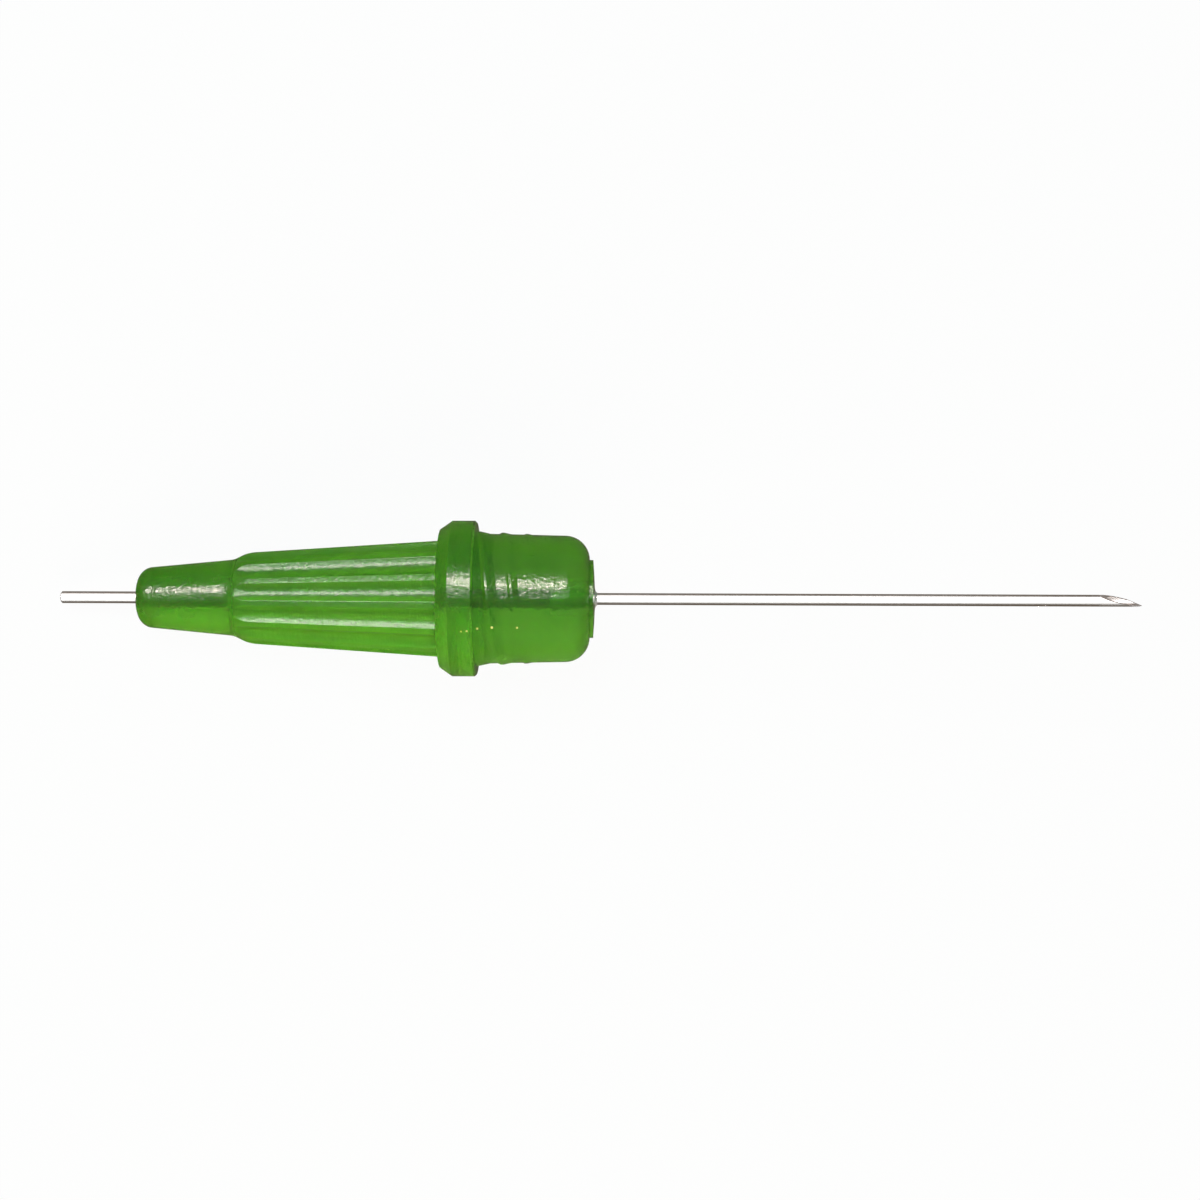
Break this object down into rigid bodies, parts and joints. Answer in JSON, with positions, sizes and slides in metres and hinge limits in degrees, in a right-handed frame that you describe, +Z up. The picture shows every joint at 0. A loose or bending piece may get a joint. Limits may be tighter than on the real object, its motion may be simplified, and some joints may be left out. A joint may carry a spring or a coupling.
{
  "type": "blood collection needle",
  "caption": "Double-ended steel needle through a green moulded hub with a threaded boss, a bevelled collar, a fluted grip and a tapered nose.",
  "frame": {"origin": "on the table below the middle of the whole needle's length, width at the bottom of the bounding box", "axes": "+X along the table towards the bevelled point, +Y across, +Z up; the needle's own axis lies in the XZ plane and rises 9 degrees towards the point"},
  "size_m": [0.0742, 0.0108, 0.0129],
  "materials": {
    "hub_plastic": "gloss",
    "needle_steel": "polished",
    "cured_glue": "gloss"
  },
  "bodies": {
    "root": {"hub": "hub_plastic", "cannula": "needle_steel", "adhesive_plug": "cured_glue"}
  },
  "joints": []
}
